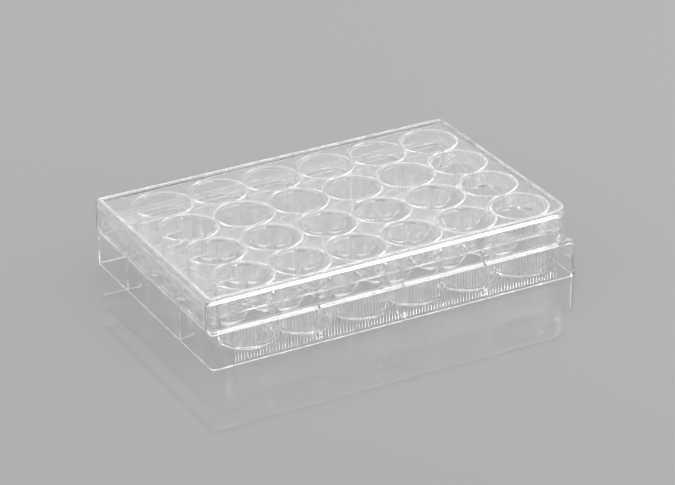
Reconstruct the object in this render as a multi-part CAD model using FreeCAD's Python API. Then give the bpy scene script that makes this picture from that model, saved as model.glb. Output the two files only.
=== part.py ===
import FreeCAD, Part
import math
import os

from FreeCAD import Vector

# A lidded 24-well culture plate in clear plastic: one moulded plate with its wells, and a loose lid.
# Millimetres. The origin lies on the standing plane, under the middle of the skirt. +X runs along
# the rows of wells towards the narrow margin, +Y towards the back and +Z up. Corner radii are
# listed front left, front right, back right, back left, at the top of the drafted walls.

# Plate: skirt, its ledge and the raised part that the lid covers
skirt_length = 127.76
skirt_width = 85.48
skirt_corners = (1.2, 0.8, 0.8, 1.2)
skirt_wall = 1.0
foot_height = 1.2
foot_edge_radius = 0.1
ledge_height = 12.7
ledge_thickness = 1.4
ledge_edge_radius = 0.25
raised_length = 123.8
raised_width = 80.2
raised_wall = 1.1
deck_height = 16.6
deck_thickness = 0.8
deck_edge_radius = 0.2
deck_inside_radius = 0.15
ledge_inside_radius = 0.5

# Wells
well_columns = 6
well_rows = 4
well_pitch = 19.3
well_grid_shift = 2.2
well_mouth_radius = 8.3
well_floor_radius = 7.8
well_wall = 0.9
well_underside_height = 1.1
well_floor_thickness = 1.0
well_rim_height = 20.7
well_rim_radius = 0.12

# Well field: the flat top that joins the wells, and the low wall that carries it on the deck
field_thickness = 0.8
field_wall = 1.0

# Grip ribs, in a shallow recess on the front and on the back of the skirt
rib_margin = 7.5
rib_pitch = 1.05
rib_width = 0.6
rib_depth = 0.24
recess_depth = 0.4
flange_height = 1.3

# Stiffening webs between the skirt and the wells
web_thickness = 0.9
web_lift = 0.5
web_reach = 4.8
web_corner_radius = 1.5
long_side_web_spacing = 1.5 * well_pitch
end_web_spacing = 2 * well_pitch

# Lid, which stands on the ledge, a gap above the wells, and is pushed to one side by part of its play
lid_play = 0.7
lid_rim_gap = 0.4
lid_wall = 1.2
lid_corners = (1.7, 6.5, 2.7, 1.7)
lid_panel = 1.2
lid_edge_radius = 0.8
lid_foot_radius = 0.4
lid_inside_radius = 0.6
lid_offset_x = -0.6

# Stacking rim on the lid, which fits inside the skirt of the plate above
stack_clearance = 0.2
stack_rim_height = 0.9
stack_rim_width = 1.1
stack_rim_radius = 0.25

# Condensation rings under the lid, one round the mouth of each well
ring_clearance = 0.15
ring_width = 0.5
ring_depth = 0.3

# Mould draft in degrees, the smallest corner radius left by an offset, how much a hollow's corner
# radius exceeds the fillet that runs round it, how far a piece runs past the face it meets, and how
# near two places lie when they are the same
draft_angle = 1.5
smallest_radius = 0.4
corner_excess = 0.1
overlap = 0.3
same_place = 1e-4

cavity_length = skirt_length - 2 * skirt_wall
cavity_width = skirt_width - 2 * (skirt_wall + recess_depth)
ledge_underside = ledge_height - ledge_thickness
deck_underside = deck_height - deck_thickness
field_length = (well_columns - 1) * well_pitch
field_width = (well_rows - 1) * well_pitch
lid_length = raised_length + 2 * (lid_play + lid_wall)
lid_width = raised_width + 2 * (lid_play + lid_wall)
lid_top = well_rim_height + lid_rim_gap + lid_panel
panel_underside = lid_top - lid_panel


def grown(corners, amount, least=smallest_radius):
    """Corner radii of an outline moved outwards by amount, or inwards where it is negative."""
    return tuple(max(radius + amount, least) for radius in corners)


def narrowing(height):
    """How far a drafted wall leans inwards over a height."""
    return height * math.tan(math.radians(draft_angle))


def rounded_wire(corners):
    """A closed wire through (point, radius) corners, with a tangent arc wherever radius isn't 0."""
    stretches = []
    for index, (point, radius) in enumerate(corners):
        before = (corners[index - 1][0] - point).normalize()
        after = (corners[(index + 1) % len(corners)][0] - point).normalize()
        half_angle = before.getAngle(after) / 2
        reach = radius / math.tan(half_angle)
        bisector = (before + after).normalize()
        bulge = radius / math.sin(half_angle) - radius
        stretches.append((point + before * reach, point + bisector * bulge, point + after * reach))
    edges = []
    for index, (start, middle, end) in enumerate(stretches):
        if corners[index][1] > 0:
            edges.append(Part.Arc(start, middle, end).toShape())
        following = stretches[(index + 1) % len(stretches)][0]
        if end.distanceToPoint(following) > same_place:
            edges.append(Part.LineSegment(end, following).toShape())
    return Part.Wire(edges)


def outline(length, width, radii, height, centre_x=0.0):
    """A level rectangle with a radius of its own at each corner."""
    left, right = centre_x - length / 2, centre_x + length / 2
    front, back = -width / 2, width / 2
    places = [(left, front), (right, front), (right, back), (left, back)]
    return rounded_wire([(Vector(x, y, height), radius) for (x, y), radius in zip(places, radii)])


def drafted(length, width, radii, stated_at, low, high, centre_x=0.0):
    """A block with drafted sides: its size is stated at one height, its corner radii at the top."""
    sections = []
    for height in (low, high):
        inset = narrowing(height - stated_at)
        corners = grown(radii, narrowing(high - height))
        sections.append(outline(length - 2 * inset, width - 2 * inset, corners, height, centre_x))
    return Part.makeLoft(sections, True, True)


def rounded_at(solid, height, radius):
    """The solid with all its edges that lie level at a height rounded."""
    level = [
        edge
        for edge in solid.Edges
        if all(abs(point.z - height) < same_place for point in edge.discretize(3))
    ]
    return solid.makeFillet(radius, level)


def revolved(profile):
    """A ring or cup from a closed profile of (x, z, radius) corners, turned about the Z axis."""
    face = Part.Face(rounded_wire([(Vector(x, 0, z), radius) for x, z, radius in profile]))
    return face.revolve(Vector(0, 0, 0), Vector(0, 0, 1), 360)


def well_centres():
    """Centres of the wells, column by column from the front left."""
    centres = []
    for column in range(well_columns):
        for row in range(well_rows):
            x = well_grid_shift + (column - (well_columns - 1) / 2) * well_pitch
            y = (row - (well_rows - 1) / 2) * well_pitch
            centres.append(Vector(x, y, 0))
    return centres


def fluted_recess():
    """What the front of the skirt loses between its foot and its ledge, leaving a row of ribs."""
    half_length = skirt_length / 2 - rib_margin
    floor = -(skirt_width / 2 - narrowing(foot_height) - recess_depth)
    outside = -(skirt_width / 2 + overlap)
    count = int(2 * half_length / rib_pitch)
    corner = Vector(-half_length, floor, foot_height)
    edges = [Part.LineSegment(Vector(-half_length, outside, foot_height), corner).toShape()]
    for index in range(count):
        x = (index - (count - 1) / 2) * rib_pitch
        start = Vector(x - rib_width / 2, floor, foot_height)
        crest = Vector(x, floor - rib_depth, foot_height)
        end = Vector(x + rib_width / 2, floor, foot_height)
        edges.append(Part.LineSegment(corner, start).toShape())
        edges.append(Part.Arc(start, crest, end).toShape())
        corner = end
    closing = [corner, Vector(half_length, floor, foot_height), Vector(half_length, outside, foot_height)]
    closing.append(Vector(-half_length, outside, foot_height))
    for start, end in zip(closing, closing[1:]):
        edges.append(Part.LineSegment(start, end).toShape())
    height = ledge_height - flange_height - foot_height
    return Part.Face(Part.Wire(edges)).extrude(Vector(0, narrowing(height), height))


def plate_outside():
    """Skirt with its foot and ledge, and the raised part on top, before hollowing."""
    skirt = drafted(skirt_length, skirt_width, skirt_corners, 0, 0, ledge_height)
    skirt = rounded_at(skirt, ledge_height, ledge_edge_radius)
    skirt = rounded_at(skirt, 0, foot_edge_radius)
    recess = fluted_recess()
    skirt = skirt.cut([recess, recess.mirror(Vector(0, 0, 0), Vector(0, 1, 0))])
    raised = drafted(raised_length, raised_width, raised_corners(), ledge_height, ledge_underside, deck_height)
    return skirt.fuse(rounded_at(raised, deck_height, deck_edge_radius))


def raised_corners():
    """The raised part follows the inside of the lid at the lid's play."""
    return grown(lid_corners, -(lid_wall + lid_play))


def plate_hollow():
    """The space under the plate: inside the skirt, and inside the raised part."""
    least = ledge_inside_radius + corner_excess
    low = drafted(
        cavity_length,
        cavity_width,
        grown(skirt_corners, -skirt_wall, least),
        0,
        -overlap,
        ledge_underside,
    )
    high = drafted(
        raised_length - 2 * raised_wall,
        raised_width - 2 * raised_wall,
        grown(raised_corners(), -raised_wall, least),
        ledge_height,
        ledge_underside - overlap - ledge_inside_radius,
        deck_underside,
    )
    low = rounded_at(low, ledge_underside, ledge_inside_radius)
    return low.fuse(rounded_at(high, deck_underside, deck_inside_radius))


def well():
    """One cup, standing on the axis: flat floor, slightly flared wall and rounded mouth."""
    floor_height = well_underside_height + well_floor_thickness
    outer_floor = well_floor_radius + well_wall
    outer_mouth = well_mouth_radius + well_wall
    return revolved(
        [
            (0, well_underside_height, 0),
            (outer_floor, well_underside_height, 0),
            (outer_mouth, well_rim_height, 0),
            (well_mouth_radius, well_rim_height, well_rim_radius),
            (well_floor_radius, floor_height, 0),
            (0, floor_height, 0),
        ]
    )


def field_block(inset, low, high):
    """An upright block through the centres of the outermost wells, its sides moved in by an inset."""
    corner = Vector(well_grid_shift - field_length / 2 + inset, inset - field_width / 2, low)
    return Part.makeBox(field_length - 2 * inset, field_width - 2 * inset, high - low, corner)


def web(place, bearing):
    """The room that one web takes up in the hollow, reaching in from a wall that faces a bearing."""
    side = -web_thickness / 2
    profile = rounded_wire(
        [
            (Vector(-web_reach, side, web_lift), web_corner_radius),
            (Vector(overlap, side, web_lift), 0),
            (Vector(overlap, side, deck_height), 0),
            (Vector(-web_reach, side, deck_height), 0),
        ]
    )
    block = Part.Face(profile).extrude(Vector(0, web_thickness, 0))
    return block.rotated(Vector(0, 0, 0), Vector(0, 0, 1), bearing).translated(place)


def webs():
    """Three webs on each long side and two at each end."""
    blocks = []
    for bearing, side in ((90, 1), (270, -1)):
        for step in (-1, 0, 1):
            x = well_grid_shift + step * long_side_web_spacing
            blocks.append(web(Vector(x, side * cavity_width / 2, 0), bearing))
    for bearing, side in ((0, 1), (180, -1)):
        for step in (-1, 1):
            y = step * end_web_spacing / 2
            blocks.append(web(Vector(side * cavity_length / 2, y, 0), bearing))
    return blocks


def plate():
    """The plate as moulded in one piece."""
    field = field_block(0, deck_underside, well_rim_height)
    under_field = field_block(field_wall, deck_underside - overlap, well_rim_height - field_thickness)
    hollow = plate_hollow().cut(webs()).fuse(under_field)
    shell = plate_outside().fuse(field).cut(hollow)
    cup = well()
    bore = Part.makeCylinder(well_mouth_radius + well_wall / 2, well_rim_height + overlap)
    cups = [cup.translated(centre) for centre in well_centres()]
    bores = [bore.translated(centre) for centre in well_centres()]
    return shell.cut(bores).fuse(cups).removeSplitter()


def stacking_rim():
    """A low frame on the lid that stands inside the skirt of the next plate."""
    length = cavity_length - 2 * stack_clearance
    width = cavity_width - 2 * stack_clearance
    corners = grown(lid_corners, -(lid_length - length) / 2)
    top = lid_top + stack_rim_height
    rim = drafted(length, width, corners, lid_top, panel_underside + overlap, top, lid_offset_x)
    inside = drafted(
        length - 2 * stack_rim_width,
        width - 2 * stack_rim_width,
        grown(corners, -stack_rim_width),
        lid_top,
        lid_top - lid_panel,
        top + overlap,
        lid_offset_x,
    )
    return rounded_at(rim.cut(inside), top, stack_rim_radius)


def condensation_ring():
    """One ring with a round tip, hanging from the lid panel on the axis of its well."""
    tip = panel_underside - ring_depth
    inner = well_mouth_radius + well_wall + ring_clearance
    outer = inner + ring_width
    root = panel_underside + overlap
    bead = ring_width / 2
    return revolved([(inner, root, 0), (inner, tip, bead), (outer, tip, bead), (outer, root, 0)])


def lid():
    """The lid as moulded in one piece."""
    shell = drafted(
        lid_length, lid_width, lid_corners, ledge_height, ledge_height, lid_top, lid_offset_x
    )
    hollow = drafted(
        lid_length - 2 * lid_wall,
        lid_width - 2 * lid_wall,
        grown(lid_corners, -lid_wall, lid_inside_radius + corner_excess),
        ledge_height,
        ledge_height - overlap,
        panel_underside,
        lid_offset_x,
    )
    shell = rounded_at(shell, lid_top, lid_edge_radius)
    shell = rounded_at(shell, ledge_height, lid_foot_radius)
    shell = shell.cut(rounded_at(hollow, panel_underside, lid_inside_radius))
    ring = condensation_ring()
    rings = [ring.translated(centre) for centre in well_centres()]
    return shell.fuse([stacking_rim()] + rings).removeSplitter()


os.makedirs("parts", exist_ok=True)
for name, shape in {"plate": plate(), "lid": lid()}.items():
    shape.exportStep(f"parts/{name}.step")
    box = shape.BoundBox
    print(
        f"{name}: {len(shape.Solids)} solid, valid {shape.isValid()}, volume {shape.Volume / 1000:.2f} cm3,"
        f" x {box.XMin:.2f} to {box.XMax:.2f}, y {box.YMin:.2f} to {box.YMax:.2f},"
        f" z {box.ZMin:.2f} to {box.ZMax:.2f}"
    )
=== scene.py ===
import math

import bpy
from mathutils import Matrix, Vector


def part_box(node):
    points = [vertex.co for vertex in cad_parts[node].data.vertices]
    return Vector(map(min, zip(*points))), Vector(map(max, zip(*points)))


# A clear lidded culture plate on a pale studio floor. Metres, in the part's own frame:
# +X along the rows of wells, +Y towards the back and +Z up.

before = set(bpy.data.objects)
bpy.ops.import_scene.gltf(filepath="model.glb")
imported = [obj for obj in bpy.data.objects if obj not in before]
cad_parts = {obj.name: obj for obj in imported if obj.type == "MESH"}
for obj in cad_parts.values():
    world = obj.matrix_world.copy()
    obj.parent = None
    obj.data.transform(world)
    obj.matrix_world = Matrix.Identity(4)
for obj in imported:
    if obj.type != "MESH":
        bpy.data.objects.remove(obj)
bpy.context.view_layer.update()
scene = bpy.context.scene


def linearColour(hexCode):
    # sRGB hex to the linear values that Blender's sockets take
    channels = [int(hexCode[i:i + 2], 16) / 255 for i in (1, 3, 5)]
    linear = [c / 12.92 if c <= 0.04045 else ((c + 0.055) / 1.055) ** 2.4 for c in channels]
    return (*linear, 1.0)


def addNode(tree, kind, settings=None, feeds=(), **links):
    # one node: settings go to its own properties or to its sockets, feeds fill its sockets in
    # their order, and links name what feeds a socket
    node = tree.nodes.new(kind)
    for name, value in (settings or {}).items():
        if name in node.inputs:
            node.inputs[name].default_value = value
        else:
            setattr(node, name, value)
    for socket, source in zip(node.inputs, feeds):
        tree.links.new(source, socket)
    for name, source in links.items():
        tree.links.new(source, node.inputs[name.replace("_", " ")])
    return node


def newMaterial(name):
    material = bpy.data.materials.new(name)
    material.use_nodes = True
    material.node_tree.nodes.clear()
    return material, material.node_tree


# Camera: where it stands, the three angles that aim it in degrees, and its lens in mm
cameraView = {
    "place": (-0.38527, -0.75401, 0.42041),
    "turn": -27.13,  # about Z, clockwise seen from above
    "tilt": 64.10,  # up from looking straight down
    "roll": -1.42,
    "lens": 158.2,
    "sensorWidth": 36,
    "farthest": 20,  # metres
}


def placeCamera():
    data = bpy.data.cameras.new("camera")
    data.lens = cameraView["lens"]
    data.sensor_width = cameraView["sensorWidth"]
    data.clip_end = cameraView["farthest"]
    camera = bpy.data.objects.new("camera", data)
    scene.collection.objects.link(camera)
    turn = Matrix.Rotation(math.radians(cameraView["turn"]), 4, "Z")
    tilt = Matrix.Rotation(math.radians(cameraView["tilt"]), 4, "X")
    roll = Matrix.Rotation(math.radians(cameraView["roll"]), 4, "Z")
    camera.matrix_world = Matrix.Translation(cameraView["place"]) @ turn @ tilt @ roll
    scene.camera = camera


placeCamera()
print("camera placed")


# Studio: a polished floor, a sky that brightens upwards, and soft boxes above, at both sides and
# low in front
studio = {
    "floorSize": 6.0,
    "floorHeight": -0.00005,  # a hair of air under the plate, as under any part that stands on a table
    "floorColour": "#888888",
    "floorRoughness": 0.03,
    "floorSpecular": 0.5,
    "skyStops": ((0.0, 0.45), (0.30, 0.58), (0.50, 0.85), (1.0, 1.0)),  # height of the ray, strength
    "bounces": 64,  # light is piped along the clear walls by many inner reflections
}


def buildFloor():
    half = studio["floorSize"] / 2
    mesh = bpy.data.meshes.new("floor")
    corners = [(-half, -half), (half, -half), (half, half), (-half, half)]
    mesh.from_pydata([(x, y, studio["floorHeight"]) for x, y in corners], [], [(0, 1, 2, 3)])
    floor = bpy.data.objects.new("floor", mesh)
    scene.collection.objects.link(floor)
    material, tree = newMaterial("polished acrylic sheet")
    shader = addNode(tree, "ShaderNodeBsdfPrincipled", {
        "Base Color": linearColour(studio["floorColour"]),
        "Roughness": studio["floorRoughness"],
        "Specular IOR Level": studio["floorSpecular"],
    })
    addNode(tree, "ShaderNodeOutputMaterial", Surface=shader.outputs[0])
    mesh.materials.append(material)


def buildSky():
    world = bpy.data.worlds.new("studio sky")
    world.use_nodes = True
    tree = world.node_tree
    tree.nodes.clear()
    direction = addNode(tree, "ShaderNodeTexCoord")
    height = addNode(tree, "ShaderNodeSeparateXYZ", Vector=direction.outputs["Generated"])
    ramp = addNode(tree, "ShaderNodeValToRGB", Fac=height.outputs["Z"])
    stops = ramp.color_ramp.elements
    top = studio["skyStops"][-1][1]
    for index, (place, strength) in enumerate(studio["skyStops"]):
        stop = stops[index] if index < len(stops) else stops.new(place)
        stop.position = place
        stop.color = (strength / top, strength / top, strength / top, 1)
    sky = addNode(tree, "ShaderNodeBackground", {"Strength": top}, Color=ramp.outputs["Color"])
    addNode(tree, "ShaderNodeOutputWorld", Surface=sky.outputs[0])
    scene.world = world


softBoxes = {
    # direction in degrees (bearing clockwise from +Y, height), distance and size in metres, and
    # radiance. A low box isn't mirrored, or it would glare in the polished floor when seen from low.
    "top": {
        "bearing": 27, "height": 60, "distance": 1.3, "size": (1.4, 0.7), "radiance": 3.5,
        "mirrored": True,
    },
    "left": {
        "bearing": -75, "height": 28, "distance": 1.3, "size": (0.8, 0.8), "radiance": 2.5,
        "mirrored": False,
    },
    "right": {
        "bearing": 115, "height": 28, "distance": 0.8, "size": (0.5, 0.5), "radiance": 4.0,
        "mirrored": False,
    },
    "front": {
        "bearing": 207, "height": 8, "distance": 1.6, "size": (1.6, 0.42), "radiance": 2.4,
        "mirrored": False,
    },
}


def placeSoftBoxes():
    for name, box in softBoxes.items():
        data = bpy.data.lights.new(name, "AREA")
        data.shape = "RECTANGLE"
        data.size, data.size_y = box["size"]
        data.energy = box["radiance"] * math.pi * data.size * data.size_y
        light = bpy.data.objects.new(name, data)
        bearing, height = math.radians(box["bearing"]), math.radians(box["height"])
        level = math.cos(height)
        outwards = Vector((math.sin(bearing) * level, math.cos(bearing) * level, math.sin(height)))
        light.location = outwards * box["distance"]
        light.rotation_euler = (-outwards).to_track_quat("-Z", "Y").to_euler()
        light.visible_camera = False
        light.visible_glossy = box["mirrored"]
        scene.collection.objects.link(light)


buildFloor()
buildSky()
placeSoftBoxes()
scene.view_settings.view_transform = "Standard"
scene.cycles.max_bounces = studio["bounces"]
scene.cycles.glossy_bounces = studio["bounces"]
scene.cycles.transmission_bounces = studio["bounces"]
scene.cycles.transparent_max_bounces = studio["bounces"]
scene.cycles.caustics_refractive = False
scene.cycles.caustics_reflective = False
print("studio lit")


# Crystal polystyrene, injection moulded in a polished steel tool: colourless, glass clear, with
# a high index that makes its edges and corners flash white. The upright walls carry the marks of the
# tool's polishing, drawn out along the way the part leaves it, which show as streaks in the wells.
# The flat faces swell and sink a little where the melt flowed, and handling leaves a faint haze.
polystyrene = {
    "colour": "#ffffff",
    "ior": 1.59,
    "clarity": (0.993, 0.9985),  # hazed and clean
    "roughness": (0.0, 0.006),  # clean and hazed
    "shade": "#fafafa",  # what one face lets through of the light that falls on the table
    "hazeSize": 0.022,
    "hazeSpan": (0.35, 0.65),  # noise levels between which clean turns to hazed
    "dullSpan": (0.5, 0.75),  # noise levels between which polished turns to dull
    "streakWidth": 0.0011,  # coarser than real polishing marks, which would be too fine to show
    "streakLength": 0.03,
    "streakDepth": 0.000001,
    "uprightSpan": (0.3, 0.05),  # how level a face is where streaks start, and where they are full
    "flowSize": 0.009,
    "flowDepth": 0.000002,
}

# The rim that stands up round the lid's top, which the next plate slides on, is whitened to a painted
# highlight: a bright line that is stronger here and weaker there, standing in for the rim's white line.
rimHighlightPaint = {
    "height": 0.0009,
    "fade": 0.0001,
    "highlightShare": (0.12, 0.32),  # share of the surface whitened as painted highlight, weakest and strongest
    "highlightPatchSize": 0.0035,
    "highlightSpan": (0.35, 0.65),  # noise levels between which the weakest turns to the strongest
}


def unevenPattern(tree, place, sizes, detail):
    # an uneven pattern whose lumps have these sizes in metres along X, Y and Z
    scale = tuple(1 / size for size in sizes)
    spread = addNode(tree, "ShaderNodeMapping", {"Scale": scale}, Vector=place)
    noise = addNode(
        tree, "ShaderNodeTexNoise", {"Scale": 1.0, "Detail": detail}, Vector=spread.outputs[0],
    )
    return noise.outputs["Fac"]


def polishMarks(tree, place):
    # the surface's normal: streaks on the upright walls, slow waves on all faces
    width, length = polystyrene["streakWidth"], polystyrene["streakLength"]
    streak = unevenPattern(tree, place, (width, width, length), 2.0)
    flow = unevenPattern(tree, place, (polystyrene["flowSize"],) * 3, 2.0)
    surface = addNode(tree, "ShaderNodeNewGeometry")
    facing = addNode(tree, "ShaderNodeSeparateXYZ", Vector=surface.outputs["Normal"])
    level = addNode(tree, "ShaderNodeMath", {"operation": "ABSOLUTE"}, (facing.outputs["Z"],))
    start, full = polystyrene["uprightSpan"]
    upright = addNode(
        tree, "ShaderNodeMapRange", {"From Min": start, "From Max": full}, Value=level.outputs[0],
    )
    masked = addNode(
        tree, "ShaderNodeMath", {"operation": "MULTIPLY"}, (streak, upright.outputs["Result"]),
    )
    streaks = addNode(
        tree, "ShaderNodeBump", {"Distance": polystyrene["streakDepth"]}, Height=masked.outputs[0],
    )
    waves = addNode(
        tree, "ShaderNodeBump", {"Distance": polystyrene["flowDepth"]},
        Height=flow, Normal=streaks.outputs[0],
    )
    return waves.outputs[0]


def paintRimHighlight(tree, place, top):
    # share of the surface whitened as painted highlight, which grows from the panel's face up into the
    # rim
    foot = top - rimHighlightPaint["height"]
    patchiness = unevenPattern(tree, place, (rimHighlightPaint["highlightPatchSize"],) * 3, 3.0)
    lowest, highest = rimHighlightPaint["highlightSpan"]
    weakest, strongest = rimHighlightPaint["highlightShare"]
    share = addNode(tree, "ShaderNodeMapRange", {
        "From Min": lowest, "From Max": highest, "To Min": weakest, "To Max": strongest,
    }, Value=patchiness)
    height = addNode(tree, "ShaderNodeSeparateXYZ", Vector=place)
    raised = addNode(tree, "ShaderNodeMapRange", {
        "From Min": foot, "From Max": foot + rimHighlightPaint["fade"],
    }, Value=height.outputs["Z"])
    paintedHighlight = addNode(
        tree, "ShaderNodeMath", {"operation": "MULTIPLY"},
        (share.outputs["Result"], raised.outputs["Result"]),
    )
    return paintedHighlight.outputs[0]


def clearPolystyrene(name, rimTop=None):
    material, tree = newMaterial(name)
    place = addNode(tree, "ShaderNodeTexCoord").outputs["Object"]
    haze = unevenPattern(tree, place, (polystyrene["hazeSize"],) * 3, 3.0)
    lowest, highest = polystyrene["hazeSpan"]
    hazed, clean = polystyrene["clarity"]
    clarity = addNode(tree, "ShaderNodeMapRange", {
        "From Min": lowest, "From Max": highest, "To Min": clean, "To Max": hazed,
    }, Value=haze).outputs["Result"]
    if rimTop is not None:
        paintedHighlight = paintRimHighlight(tree, place, rimTop)
        # the painted highlight takes clarity away, so the rim turns white
        clarity = addNode(tree, "ShaderNodeMath", {"operation": "SUBTRACT"}, (clarity, paintedHighlight)).outputs[0]
    lowest, highest = polystyrene["dullSpan"]
    polished, dull = polystyrene["roughness"]
    roughness = addNode(tree, "ShaderNodeMapRange", {
        "From Min": lowest, "From Max": highest, "To Min": polished, "To Max": dull,
    }, Value=haze).outputs["Result"]
    clear = addNode(tree, "ShaderNodeBsdfPrincipled", {
        "Base Color": linearColour(polystyrene["colour"]),
        "IOR": polystyrene["ior"],
    }, Roughness=roughness, Transmission_Weight=clarity, Normal=polishMarks(tree, place))
    # light on its way to the table goes straight through, a little dimmed by each face
    gap = addNode(tree, "ShaderNodeBsdfTransparent", {"Color": linearColour(polystyrene["shade"])})
    ray = addNode(tree, "ShaderNodeLightPath").outputs
    passing = addNode(
        tree, "ShaderNodeMath", {"operation": "MAXIMUM"},
        (ray["Is Shadow Ray"], ray["Is Diffuse Ray"]),
    )
    mix = addNode(
        tree, "ShaderNodeMixShader", None, (passing.outputs[0], clear.outputs[0], gap.outputs[0]),
    )
    addNode(tree, "ShaderNodeOutputMaterial", Surface=mix.outputs[0])
    return material


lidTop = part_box("lid")[1][2]
for name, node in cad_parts.items():
    material = clearPolystyrene("clear polystyrene, " + name, lidTop if name == "lid" else None)
    node.data.materials.clear()
    node.data.materials.append(material)
print("polystyrene applied")
